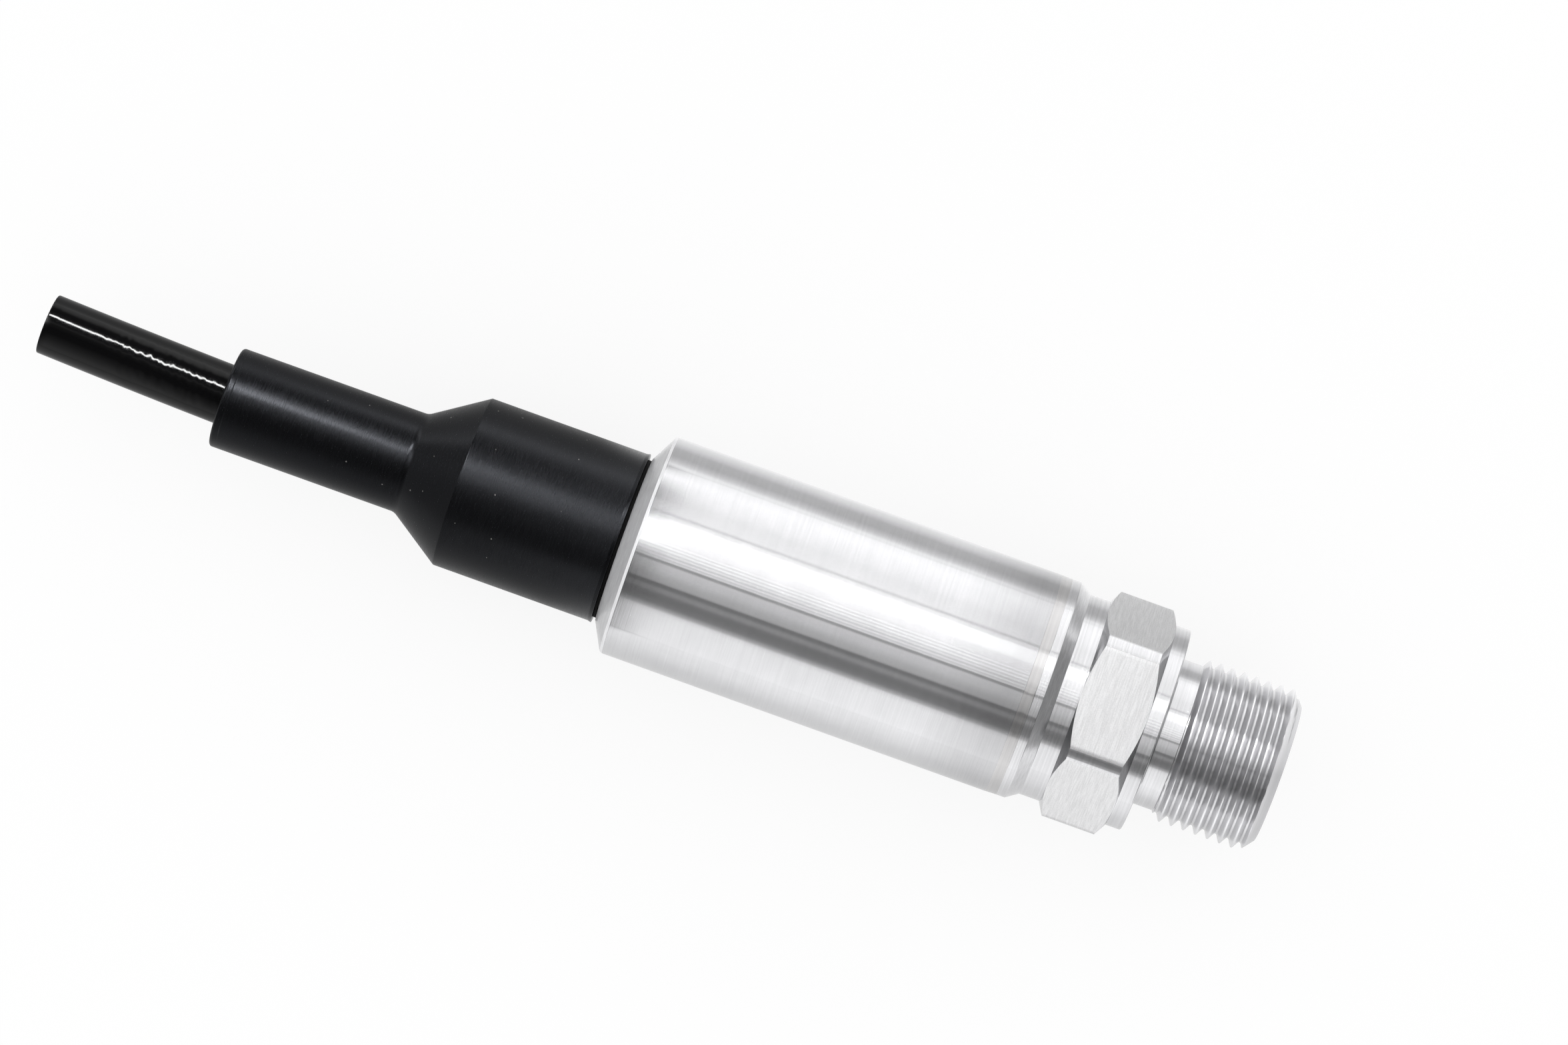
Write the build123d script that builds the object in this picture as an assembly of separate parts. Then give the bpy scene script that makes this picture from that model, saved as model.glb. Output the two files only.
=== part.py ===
from build123d import *
import os
from math import cos, hypot, radians, sin, sqrt, tan

# A screw-in level transmitter with a cable outlet, lying on its side. Sizes are in mm. A station is a
# distance along the axis, measured back from the thread's end face towards the cable. "across" is the
# horizontal distance from the axis, and "up" the height above it.

# Process thread, M20 x 1.5, kept at its outside diameter
thread_d = 20.0
thread_len = 12.45
thread_tip_d = 16.8
thread_lead_len = 1.3
relief_d = 18.0
relief_len = 2.75
relief_ramp = 0.6
relief_round = 0.3

# Collar whose front face presses the gasket
collar_d = 24.9
collar_len = 1.85
edge_break = 0.15

# Hexagon, milled from round bar and chamfered at both ends
hex_af = 25.0
hex_bar_d = 28.0
hex_len = 8.25
hex_chamfer_angle = 30.0
hex_chamfer_crown_r = 25.0
hex_turn = 5.4

# Neck, shoulder and the land that is welded to the housing
neck_d = 24.9
neck_len = 2.5
shoulder_len = 1.45
land_step = 0.05
land_len = 1.75
weld_width = 1.3
weld_depth = 0.5
spigot_len = 3.4
spigot_lead = 0.4

# Pressure port, and the shallow cavity in front of the diaphragm
port_d = 4.0
port_break = 0.4
port_web = 2.0
cavity_d = 13.0
cavity_depth = 0.6

# Sensor core
sensor_d = 19.0
sensor_len = 12.8
sensor_clearance = 0.05
ring_plate_t = 0.6
ring_plate_inset = 0.2
diaphragm_d = 14.4
diaphragm_t = 0.1
diaphragm_free_d = 12.8
diaphragm_flat_d = 3.2
corrugations = 3
corrugation_height = 0.12
oil_gap = 0.4
oil_hole_d = 1.5
front_web = 1.8
seal_groove_depth = 1.4
seal_groove_len = 2.0
seal_groove_offset = 2.6
seal_squeeze_gap = 0.02
header_bore_d = 12.0
header_t = 3.4
filler_t = 2.4
filler_hole_d = 4.4
die_side = 2.6
die_base_t = 0.8
die_t = 0.4
rear_recess_d = 13.6
pin_count = 5
pin_circle_d = 7.6
pin_d = 0.7
pin_bead_d = 1.8
pin_front_len = 0.6
pin_pocket_depth = 1.2
pin_tail_len = 0.7
fill_ball_d = 1.5
fill_ball_sink = 0.4
fill_ball_circle_d = 9.0

# Threaded ring that holds the sensor core down
retainer_d = 21.0
retainer_bore_d = 15.0
retainer_len = 3.0
retainer_clearance = 0.05
retainer_slot_width = 2.0
retainer_slot_depth = 1.2

# Compensation board on the sensor's pins
trim_board_d = 12.8
trim_board_t = 0.8
trim_board_depth = 0.4
pin_hole_d = 0.8

# Housing tube, turned with its end wall
body_d = 27.0
body_wall = 1.5
housing_len = 50.57
end_wall = 4.0
end_bevel_len = 1.69
end_edge_len = 0.35
end_edge_depth = 0.15
end_face_d = 20.3
spigot_clearance = 0.05
corner_round = 1.0

# Main circuit board in its two holders
board_len = 36.5
board_width = 19.0
board_t = 1.6
board_fit = 0.1
slot_depth = 1.5
holder_t = 3.0
holder_clearance = 0.1
holder_rim = 1.5
window_width = 11.6
window_height = 6.2

# What stands on the main board, each start measured from the board's fitting end
signal_chip_start = 9.0
signal_chip_len = 6.2
signal_chip_across = -4.0
signal_chip_legs = 10
processor_chip_start = 9.0
processor_chip_len = 5.0
processor_chip_across = 4.6
processor_chip_legs = 8
chip_width = 4.4
chip_height = 1.2
chip_stand_off = 0.1
leg_width = 0.4
leg_t = 0.2
leg_reach = 1.0
resistor_start = 17.5
resistor_len = 2.0
resistor_width = 1.25
resistor_t = 0.55
resistor_row_pitch = 3.2
resistor_rows = 2
resistor_pitch = 2.4
resistors_in_row = 7
protector_d = 3.2
protector_len = 5.6
protector_pitch = 4.2
protector_count = 3
choke_start = 6.0
choke_side = 6.0
choke_height = 3.0
choke_corner = 0.8

# Sensor leads and cable cores inside the housing
lead_count = 5
lead_d = 1.0
lead_pitch = 1.5
lead_up = 4.9
lead_pad_len = 2.0
lead_bend = 1.5
core_pad_pitch = 3.0
core_pad_from_end = 6.0
core_gather_depth = 0.3
wire_clearance = 0.04

# Gland nipple, M16 x 1.5 at both ends, kept at its outside diameter
nipple_d = 16.0
nipple_clearance = 0.05
nipple_reach = 11.5
nipple_cable_gap = 0.65
grommet_seat_len = 7.0
grommet_seat_d = 12.4
grommet_clearance = 0.05
grommet_proud = 0.95
grommet_nose_d = 10.4
washer_d = 13.2
washer_cable_gap = 0.35
washer_t = 1.0

# Gasket and strain relief boot
gasket_inset = 0.6
gasket_t = 0.45
boot_d = 20.8
boot_thick_len = 19.75
boot_cone_len = 6.45
sleeve_d = 12.2
sleeve_len = 23.2
boot_cable_gap = 0.15
boot_lip_round = 0.15
boot_edge_round = 0.25
boot_neck_round = 1.5
mouth_round = 0.9

# Cable
cable_d = 7.3
jacket_t = 1.0
cable_stub = 22.7
cable_drift = 1.0
bend_drift = 0.02
bend_inside_mouth = 0.5
bend_share = 0.45
shield_clearance = 0.03
shield_t = 0.17
vent_d = 1.8
vent_bore_d = 1.1
core_d = 1.44
core_clearance = 0.06
conductor_d = 0.7
conductor_clearance = 0.01
grommet_grip = 0.03
jacket_start_depth = 0.1
shield_start_ahead = 0.9
vent_start_ahead = 1.4

# Stations
relief_at = thread_len
seal_face_at = relief_at + relief_len
hex_at = seal_face_at + collar_len
neck_at = hex_at + hex_len
shoulder_at = neck_at + neck_len
land_at = shoulder_at + shoulder_len
joint_at = land_at + land_len
spigot_end_at = joint_at + spigot_len
cable_face_at = joint_at + housing_len
end_wall_at = cable_face_at - end_wall
boot_at = cable_face_at + gasket_t
cone_at = boot_at + boot_thick_len
sleeve_at = cone_at + boot_cone_len
mouth_at = sleeve_at + sleeve_len
cut_at = mouth_at + cable_stub

chamber_at = seal_face_at + port_web
sensor_at = chamber_at + ring_plate_t
sensor_back_at = sensor_at + sensor_len
filler_at = sensor_at + diaphragm_t + oil_gap + front_web
header_at = filler_at + filler_t
header_back_at = header_at + header_t
trim_board_at = sensor_back_at - trim_board_depth - trim_board_t
pin_end_at = sensor_back_at - trim_board_depth + pin_tail_len

board_at = spigot_end_at + holder_t - slot_depth
board_end_at = board_at + board_len
rear_holder_at = board_end_at - slot_depth
rear_plate_end_at = rear_holder_at + holder_t

nipple_end_at = cable_face_at + nipple_reach
grommet_at = nipple_end_at - grommet_seat_len
washer_at = nipple_end_at + grommet_proud
washer_end_at = washer_at + washer_t

bore_d = body_d - 2 * body_wall
land_d = body_d - 2 * land_step
chamber_d = sensor_d + 2 * sensor_clearance
ring_plate_d = sensor_d - 2 * ring_plate_inset
seal_groove_d = sensor_d - 2 * seal_groove_depth
retainer_seat_d = retainer_d + 2 * retainer_clearance
board_top = board_t / 2
gasket_d = boot_d - 2 * gasket_inset
nipple_bore_d = cable_d + 2 * nipple_cable_gap
washer_bore_d = cable_d + 2 * washer_cable_gap
boot_bore_d = cable_d + 2 * boot_cable_gap
shield_d = cable_d - 2 * jacket_t - 2 * shield_clearance
core_circle_d = vent_d + core_d + 2 * core_clearance


def turned(*corners):
    """A lathe-turned solid from its (station, radius) corners, of which some have a fillet as third value."""
    places = [(-station, radius) for station, radius, *_ in corners]
    profile = make_face(Polyline(*places, close=True))
    for corner, (_, _, *fillets) in zip(places, corners):
        for radius in fillets:
            nearest = profile.vertices().sort_by_distance(Vector(*corner))[0]
            profile = fillet(nearest, radius)
    return revolve(Plane.XZ * profile, Axis.X)


def rod(start, end, diameter, across=0.0, up=0.0):
    """A round bar along the axis, from one station to another."""
    bar = Cylinder(diameter / 2, end - start, align=(Align.CENTER, Align.CENTER, Align.MIN))
    return Pos(-end, across, up) * Rot(Y=90) * bar


def ring(start, end, outer_d, inner_d):
    """A plain ring round the axis."""
    return rod(start, end, outer_d) - rod(start, end, inner_d)


def block(start, end, width, low, high, across=0.0):
    """A box between two stations and two heights, centred on across."""
    box = Box(end - start, width, high - low, align=(Align.MAX, Align.CENTER, Align.MIN))
    return Pos(-start, across, low) * box


def drawn(path, outer_d, inner_d=0.0):
    """A wire or tube drawn along a path."""
    section = Circle(outer_d / 2)
    if inner_d:
        section -= Circle(inner_d / 2)
    start = Plane(origin=path @ 0, z_dir=path % 0)
    return sweep(start * section, path)


def hexagon():
    """The hexagon, milled from a bar whose ends have the slightly crowned chamfer that a form tool leaves."""
    rim_r = hex_af / 2
    bar_r = hex_bar_d / 2
    chamfer_len = (bar_r - rim_r) * tan(radians(hex_chamfer_angle))
    front_rim = (-hex_at, rim_r)
    front_edge = (-hex_at - chamfer_len, bar_r)
    back_edge = (-neck_at + chamfer_len, bar_r)
    back_rim = (-neck_at, rim_r)
    outline = Polyline(back_rim, (-neck_at, 0), (-hex_at, 0), front_rim)
    outline += RadiusArc(front_rim, front_edge, -hex_chamfer_crown_r)
    outline += Line(front_edge, back_edge)
    outline += RadiusArc(back_edge, back_rim, -hex_chamfer_crown_r)
    bar = revolve(Plane.XZ * make_face(outline), Axis.X)
    prism = extrude(Plane.YZ * RegularPolygon(rim_r, 6, major_radius=False), hex_len)
    return Rot(X=-hex_turn) * Pos(-neck_at, 0, 0) * prism & bar


def process_fitting():
    """The one-piece fitting: turned outside, milled hexagon, and the bores for port, sensor and retainer."""
    outside = turned(
        (0, 0),
        (0, thread_tip_d / 2),
        (thread_lead_len, thread_d / 2),
        (relief_at - relief_ramp, thread_d / 2),
        (relief_at, relief_d / 2),
        (seal_face_at, relief_d / 2, relief_round),
        (seal_face_at, collar_d / 2 - edge_break),
        (seal_face_at + edge_break, collar_d / 2),
        (hex_at, collar_d / 2),
        (hex_at, hex_af / 2 - edge_break),
        (neck_at, hex_af / 2 - edge_break),
        (neck_at, neck_d / 2),
        (shoulder_at, neck_d / 2),
        (land_at, land_d / 2),
        (joint_at - weld_width / 2, land_d / 2),
        (joint_at, body_d / 2 - weld_depth),
        (joint_at, bore_d / 2 - spigot_clearance),
        (spigot_end_at - spigot_lead, bore_d / 2 - spigot_clearance),
        (spigot_end_at, bore_d / 2 - spigot_clearance - spigot_lead),
        (spigot_end_at, 0),
    )
    bores = turned(
        (0, 0),
        (0, port_d / 2 + port_break),
        (port_break, port_d / 2),
        (chamber_at - cavity_depth, port_d / 2),
        (chamber_at - cavity_depth, cavity_d / 2),
        (chamber_at, cavity_d / 2),
        (chamber_at, chamber_d / 2),
        (sensor_back_at, chamber_d / 2),
        (sensor_back_at, retainer_seat_d / 2),
        (spigot_end_at, retainer_seat_d / 2),
        (spigot_end_at, 0),
    )
    return outside + hexagon() - bores


def weld_seam():
    """The bead in the V between land and housing, ground flush."""
    return turned(
        (joint_at - weld_width / 2, land_d / 2),
        (joint_at + weld_width / 2, body_d / 2),
        (joint_at, body_d / 2 - weld_depth),
    )


def housing_tube():
    """The housing: bored from the fitting's end, with a bevelled end wall threaded for the gland nipple."""
    bevel_at = cable_face_at - end_bevel_len
    return turned(
        (joint_at, bore_d / 2),
        (joint_at, body_d / 2 - weld_depth),
        (joint_at + weld_width / 2, body_d / 2),
        (bevel_at - end_edge_len, body_d / 2),
        (bevel_at, body_d / 2 - end_edge_depth),
        (cable_face_at, end_face_d / 2),
        (cable_face_at, nipple_d / 2),
        (end_wall_at, nipple_d / 2),
        (end_wall_at, bore_d / 2, corner_round),
    )


def sensor_body():
    """The steel ring body of the sensor core: diaphragm seat, oil space, header bore and seal groove."""
    groove_at = sensor_at + seal_groove_offset
    return turned(
        (sensor_at, diaphragm_d / 2),
        (sensor_at, sensor_d / 2),
        (groove_at, sensor_d / 2),
        (groove_at, seal_groove_d / 2),
        (groove_at + seal_groove_len, seal_groove_d / 2),
        (groove_at + seal_groove_len, sensor_d / 2),
        (sensor_back_at - edge_break, sensor_d / 2),
        (sensor_back_at, sensor_d / 2 - edge_break),
        (sensor_back_at, rear_recess_d / 2),
        (header_back_at, rear_recess_d / 2),
        (header_back_at, header_bore_d / 2),
        (filler_at, header_bore_d / 2),
        (filler_at, oil_hole_d / 2),
        (filler_at - front_web, oil_hole_d / 2),
        (filler_at - front_web, diaphragm_free_d / 2),
        (sensor_at + diaphragm_t, diaphragm_free_d / 2),
        (sensor_at + diaphragm_t, diaphragm_d / 2),
    )


def isolating_diaphragm():
    """The thin steel disc, flat at its rim and middle, with rings of alternate corrugations between them."""
    first = diaphragm_flat_d / 2
    pitch = (diaphragm_free_d / 2 - first) / (2 * corrugations + 1)
    front = [Line((0, 0), (0, first))]
    for wave in range(2 * corrugations):
        low = first + wave * pitch
        height = corrugation_height * (1 if wave % 2 else -1)
        front.append(ThreePointArc((0, low), (height, low + pitch / 2), (0, low + pitch)))
    front.append(Line((0, first + 2 * corrugations * pitch), (0, diaphragm_d / 2)))
    back = [Pos(-diaphragm_t, 0) * edge for edge in front]
    centre = Line((-diaphragm_t, 0), (0, 0))
    rim = Line((-diaphragm_t, diaphragm_d / 2), (0, diaphragm_d / 2))
    profile = make_face(front + back + [centre, rim])
    return Pos(-sensor_at, 0, 0) * revolve(Plane.XZ * profile, Axis.X)


def diaphragm_ring():
    """The ring that is welded over the diaphragm's rim."""
    return ring(chamber_at, sensor_at, ring_plate_d, diaphragm_free_d)


def pin_places():
    """(across, up) of each header pin, the first one at the top."""
    turns = [360 / pin_count * pin for pin in range(pin_count)]
    return [(pin_circle_d / 2 * sin(radians(turn)), pin_circle_d / 2 * cos(radians(turn))) for turn in turns]


def ceramic_filler():
    """The ceramic disc that takes up oil space round the die, drilled for the die and the pins' heads."""
    disc = ring(filler_at, header_at, header_bore_d - 2 * sensor_clearance, filler_hole_d)
    for across, up in pin_places():
        disc -= rod(header_at - pin_pocket_depth, header_at, pin_bead_d, across, up)
    return disc


def sensor_header():
    """The steel header, drilled for the glass beads and for filling with oil."""
    disc = rod(header_at, header_back_at, header_bore_d)
    for across, up in pin_places():
        disc -= rod(header_at, header_back_at, pin_bead_d, across, up)
    return disc - rod(header_at, header_back_at, fill_ball_d, 0, -fill_ball_circle_d / 2)


def header_glass_beads():
    """The glass beads that insulate the pins."""
    beads = []
    for across, up in pin_places():
        bead = rod(header_at, header_back_at, pin_bead_d, across, up)
        beads.append(bead - rod(header_at, header_back_at, pin_d, across, up))
    return beads


def header_pins():
    """The gold-plated pins, through the header and the compensation board."""
    return [rod(header_at - pin_front_len, pin_end_at, pin_d, across, up) for across, up in pin_places()]


def oil_fill_ball():
    """The steel ball pressed into the filling hole, just below the header's back face."""
    centre_at = header_back_at - fill_ball_sink - fill_ball_d / 2
    return Pos(-centre_at, 0, -fill_ball_circle_d / 2) * Sphere(fill_ball_d / 2)


def silicon_die():
    """The silicon die on its glass base, bonded to the middle of the header."""
    base = block(header_at - die_base_t, header_at, die_side, -die_side / 2, die_side / 2)
    top_at = header_at - die_base_t - die_t
    top = block(top_at, header_at - die_base_t, die_side, -die_side / 2, die_side / 2)
    return base + top


def sensor_o_ring():
    """The seal ring in the sensor core's groove."""
    section_d = (chamber_d - seal_groove_d) / 2 - 2 * seal_squeeze_gap
    middle_at = sensor_at + seal_groove_offset + seal_groove_len / 2
    torus = Torus((chamber_d + seal_groove_d) / 4, section_d / 2)
    return Pos(-middle_at, 0, 0) * Rot(Y=90) * torus


def sensor_retainer():
    """The threaded ring behind the sensor core, with two slots for its key."""
    body = ring(sensor_back_at, sensor_back_at + retainer_len, retainer_d, retainer_bore_d)
    slot_at = sensor_back_at + retainer_len - retainer_slot_depth
    end_at = sensor_back_at + retainer_len
    return body - block(slot_at, end_at, retainer_slot_width, -retainer_d / 2, retainer_d / 2)


def compensation_board():
    """The small round board on the pins that trims the sensor."""
    disc = rod(trim_board_at, trim_board_at + trim_board_t, trim_board_d)
    for across, up in pin_places():
        disc -= rod(trim_board_at, trim_board_at + trim_board_t, pin_hole_d, across, up)
    return disc


def sensor_leads():
    """The leads from the compensation board to the main board."""
    start_at = trim_board_at + trim_board_t
    on_board = board_top + lead_d / 2 + wire_clearance
    down_at = spigot_end_at + holder_t + lead_bend
    pad_at = down_at + (lead_up - on_board)
    leads = []
    for lead in range(lead_count):
        across = (lead - (lead_count - 1) / 2) * lead_pitch
        path = FilletPolyline(
            (-start_at, across, lead_up),
            (-down_at, across, lead_up),
            (-pad_at, across, on_board),
            (-pad_at - lead_pad_len, across, on_board),
            radius=lead_bend,
        )
        leads.append(drawn(path, lead_d))
    return leads


def board_slot(start, end):
    """The slot that a holder has for the main board's end."""
    half = board_t / 2 + board_fit
    return block(start, end, board_width + 2 * board_fit, -half, half)


def front_board_holder():
    """The moulded disc between the fitting's spigot and the board, with a slot and a window for the leads."""
    end_at = spigot_end_at + holder_t
    disc = rod(spigot_end_at, end_at, bore_d - 2 * holder_clearance)
    window = block(spigot_end_at, end_at, window_width, 0, window_height)
    opening = block(spigot_end_at, board_at, window_width, -board_top, board_top)
    return disc - window - board_slot(board_at, end_at) - opening


def rear_board_holder():
    """The moulded cup between the board and the end wall, with a slot, a window and a spacing rim."""
    outer_d = bore_d - 2 * holder_clearance
    disc = rod(rear_holder_at, rear_plate_end_at, outer_d)
    window = block(rear_holder_at, rear_plate_end_at, window_width, 0, window_height)
    rim_end_at = end_wall_at - corner_round
    rim = ring(rear_plate_end_at, rim_end_at, outer_d, outer_d - 2 * holder_rim)
    toe = ring(rim_end_at, end_wall_at, outer_d - 2 * corner_round, outer_d - 2 * holder_rim)
    return disc - window - board_slot(rear_holder_at, board_end_at) + rim + toe


def circuit_board():
    """The main board, held by its two ends."""
    return block(board_at, board_end_at, board_width, -board_top, board_top)


def leaded_chip(start, length, across, legs):
    """A moulded chip with a row of bent legs along each side, standing on the board's top face."""
    low = board_top + chip_stand_off
    knee = low + chip_height / 2
    chip = block(start, start + length, chip_width, low, low + chip_height, across)
    for leg in range(legs):
        leg_at = start + (leg + 0.5) * length / legs - leg_width / 2
        leg_end = leg_at + leg_width
        for side in (-1, 1):
            edge = across + side * chip_width / 2
            shoulder = block(leg_at, leg_end, leg_reach / 2, knee - leg_t, knee, edge + side * leg_reach / 4)
            shin = block(leg_at, leg_end, leg_t, board_top, knee, edge + side * (leg_reach - leg_t) / 2)
            foot_low, foot_high = board_top, board_top + leg_t
            foot = block(leg_at, leg_end, leg_reach / 2, foot_low, foot_high, edge + side * leg_reach * 3 / 4)
            chip += shoulder + shin + foot
    return chip


def signal_chip():
    """The chip that turns the bridge signal into a level reading."""
    start = board_at + signal_chip_start
    return leaded_chip(start, signal_chip_len, signal_chip_across, signal_chip_legs)


def processor_chip():
    """The controller chip."""
    start = board_at + processor_chip_start
    return leaded_chip(start, processor_chip_len, processor_chip_across, processor_chip_legs)


def chip_resistors():
    """The rows of chip resistors and capacitors on the board's top face."""
    parts = []
    for row in range(resistor_rows):
        start = board_at + resistor_start + row * resistor_row_pitch
        end = start + resistor_len
        for number in range(resistors_in_row):
            across = (number - (resistors_in_row - 1) / 2) * resistor_pitch
            parts.append(block(start, end, resistor_width, board_top, board_top + resistor_t, across))
    return parts


def surge_protectors():
    """The round surge protectors lying across the cable end of the board's underside."""
    can = Rot(X=90) * Cylinder(protector_d / 2, protector_len)
    first_at = rear_holder_at - protector_count * protector_pitch
    parts = []
    for number in range(protector_count):
        middle_at = first_at + (number + 0.5) * protector_pitch
        parts.append(Pos(-middle_at, 0, -board_top - protector_d / 2) * can)
    return parts


def smoothing_coil():
    """The square choke under the fitting end of the board."""
    start = board_at + choke_start
    base = block(start, start + choke_side, choke_side, -board_top - choke_height, -board_top)
    return chamfer(base.edges().filter_by(Axis.Z), choke_corner)


def gland_nipple():
    """The brass nipple, screwed into the end wall, whose outer end is bored for the grommet."""
    nose = (grommet_seat_d - grommet_nose_d) / 2
    return turned(
        (end_wall_at, nipple_bore_d / 2),
        (end_wall_at, nipple_d / 2 - nipple_clearance - edge_break),
        (end_wall_at + edge_break, nipple_d / 2 - nipple_clearance),
        (nipple_end_at - nose, nipple_d / 2 - nipple_clearance),
        (nipple_end_at, nipple_d / 2 - nipple_clearance - nose),
        (nipple_end_at, grommet_seat_d / 2),
        (grommet_at, grommet_seat_d / 2),
        (grommet_at, nipple_bore_d / 2),
    )


def cable_grommet():
    """The rubber grommet that is squeezed round the cable."""
    nose = (grommet_seat_d - grommet_nose_d) / 2
    return turned(
        (grommet_at, cable_d / 2 + grommet_grip),
        (grommet_at, grommet_seat_d / 2 - grommet_clearance),
        (washer_at - nose, grommet_seat_d / 2 - grommet_clearance),
        (washer_at, grommet_nose_d / 2 - grommet_clearance),
        (washer_at, cable_d / 2 + grommet_grip),
    )


def thrust_washer():
    """The washer through which the boot presses on the grommet."""
    return ring(washer_at, washer_end_at, washer_d, washer_bore_d)


def boot_gasket():
    """The thin black gasket between the housing's end face and the boot."""
    return ring(cable_face_at, boot_at, gasket_d, nipple_d)


def strain_relief_boot():
    """The moulded boot: a thick end screwed onto the nipple, a cone, and a thin sleeve round the cable."""
    return turned(
        (boot_at, nipple_d / 2),
        (boot_at, boot_d / 2, boot_lip_round),
        (cone_at, boot_d / 2, boot_edge_round),
        (sleeve_at, sleeve_d / 2, boot_neck_round),
        (mouth_at, sleeve_d / 2, mouth_round),
        (mouth_at, boot_bore_d / 2),
        (washer_end_at, boot_bore_d / 2),
        (washer_end_at, nipple_d / 2),
    )


# The cable's route, as (station, drift to the side) points: held straight by the boot, then drifting a little
jacket_at = cable_face_at - jacket_start_depth
bend_at = mouth_at - bend_inside_mouth
cable_route = [
    (jacket_at, 0.0),
    ((jacket_at + bend_at) / 2, 0.0),
    (bend_at, bend_drift),
    (cut_at, cable_drift),
]


def run_lengths(points):
    """The length of each run of a route."""
    return [(Vector(b) - Vector(a)).length for a, b in zip(points, points[1:])]


def easy_radii(points):
    """For each inner point, the largest bend that its two runs have room for."""
    runs = run_lengths(points)
    radii = []
    for here in range(1, len(points) - 1):
        before = Vector(points[here]) - Vector(points[here - 1])
        after = Vector(points[here + 1]) - Vector(points[here])
        half_turn = radians(before.get_angle(after)) / 2
        radii.append(bend_share * min(runs[here - 1], runs[here]) / tan(half_turn))
    return radii


def cable_points(across=0.0, up=0.0, start_ahead=0.0):
    """The route of what lies in the cable at that offset and starts ahead of the jacket's end."""
    (last_at, last_drift), (end_at, end_drift) = cable_route[-2:]
    lean = (end_drift - last_drift) / hypot(end_at - last_at, end_drift - last_drift)
    points = [(-station, drift + across, up) for station, drift in cable_route]
    points[0] = (points[0][0] + start_ahead, points[0][1], up)
    points[-1] = (points[-1][0] + across * lean, points[-1][1], up)
    return points


def along(points):
    """The path through those points, with every bend as easy as its runs allow."""
    return FilletPolyline(*points, radius=easy_radii(points))


def cable_jacket():
    """The black jacket, from the nipple to the square cut end."""
    return drawn(along(cable_points()), cable_d, cable_d - 2 * jacket_t)


def cable_shield():
    """The braid and foil under the jacket."""
    return drawn(along(cable_points(start_ahead=shield_start_ahead)), shield_d, shield_d - 2 * shield_t)


def vent_tube():
    """The tube in the middle of the cable that lets the housing breathe."""
    return drawn(along(cable_points(start_ahead=vent_start_ahead)), vent_d, vent_bore_d)


# Which way each core lies from the middle of the cable, as (side, level)
core_seats = {"red": (1, 1), "black": (1, -1), "yellow": (-1, -1), "blue": (-1, 1)}


def core_points(colour):
    """One core's route from its pad on the main board, through the housing, to the cable's cut end."""
    side, level = core_seats[colour]
    seat = core_circle_d / 2 / sqrt(2)
    pad_across = side * core_pad_pitch * (1.5 if level > 0 else 0.5)
    on_board = board_top + core_d / 2 + wire_clearance
    spread_at = board_end_at + slot_depth
    gather_at = end_wall_at + core_gather_depth
    inside = [
        (core_pad_from_end - board_end_at, pad_across, on_board),
        (-spread_at, pad_across, on_board),
        (-gather_at, side * seat, level * seat),
    ]
    return inside + cable_points(side * seat, level * seat)[1:]


def core_insulation(colour):
    """One core's coloured insulation."""
    return drawn(along(core_points(colour)), core_d, conductor_d + 2 * conductor_clearance)


def core_conductors():
    """The copper conductors, one in each core."""
    return [drawn(along(core_points(colour)), conductor_d) for colour in core_seats]


pieces = {
    "process_fitting": process_fitting(),
    "weld_seam": weld_seam(),
    "housing_tube": housing_tube(),
    "sensor_body": sensor_body(),
    "isolating_diaphragm": isolating_diaphragm(),
    "diaphragm_ring": diaphragm_ring(),
    "ceramic_filler": ceramic_filler(),
    "sensor_header": sensor_header(),
    "header_glass_beads": header_glass_beads(),
    "header_pins": header_pins(),
    "oil_fill_ball": oil_fill_ball(),
    "silicon_die": silicon_die(),
    "sensor_o_ring": sensor_o_ring(),
    "sensor_retainer": sensor_retainer(),
    "compensation_board": compensation_board(),
    "sensor_leads": sensor_leads(),
    "front_board_holder": front_board_holder(),
    "rear_board_holder": rear_board_holder(),
    "circuit_board": circuit_board(),
    "signal_chip": signal_chip(),
    "processor_chip": processor_chip(),
    "chip_resistors": chip_resistors(),
    "surge_protectors": surge_protectors(),
    "smoothing_coil": smoothing_coil(),
    "gland_nipple": gland_nipple(),
    "cable_grommet": cable_grommet(),
    "thrust_washer": thrust_washer(),
    "boot_gasket": boot_gasket(),
    "strain_relief_boot": strain_relief_boot(),
    "cable_jacket": cable_jacket(),
    "cable_shield": cable_shield(),
    "vent_tube": vent_tube(),
    "core_conductors": core_conductors(),
}
for colour in core_seats:
    pieces[f"core_{colour}"] = core_insulation(colour)

# The housing lies on the floor, and the origin is under the middle of the transmitter without cable and boot
place = Pos(washer_end_at / 2, 0, body_d / 2)

os.makedirs("parts", exist_ok=True)
for name, shape in pieces.items():
    if isinstance(shape, list):
        shape = Compound(children=shape)
    export_step(place * shape, f"parts/{name}.step")

print("cable bend radii:", [round(radius) for radius in easy_radii(cable_points())])
for colour in core_seats:
    print(f"{colour} core bend radii:", [round(radius, 1) for radius in easy_radii(core_points(colour))])
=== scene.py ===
import math
import bmesh
import bpy
import numpy as np
from mathutils import Matrix, Vector


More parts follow.
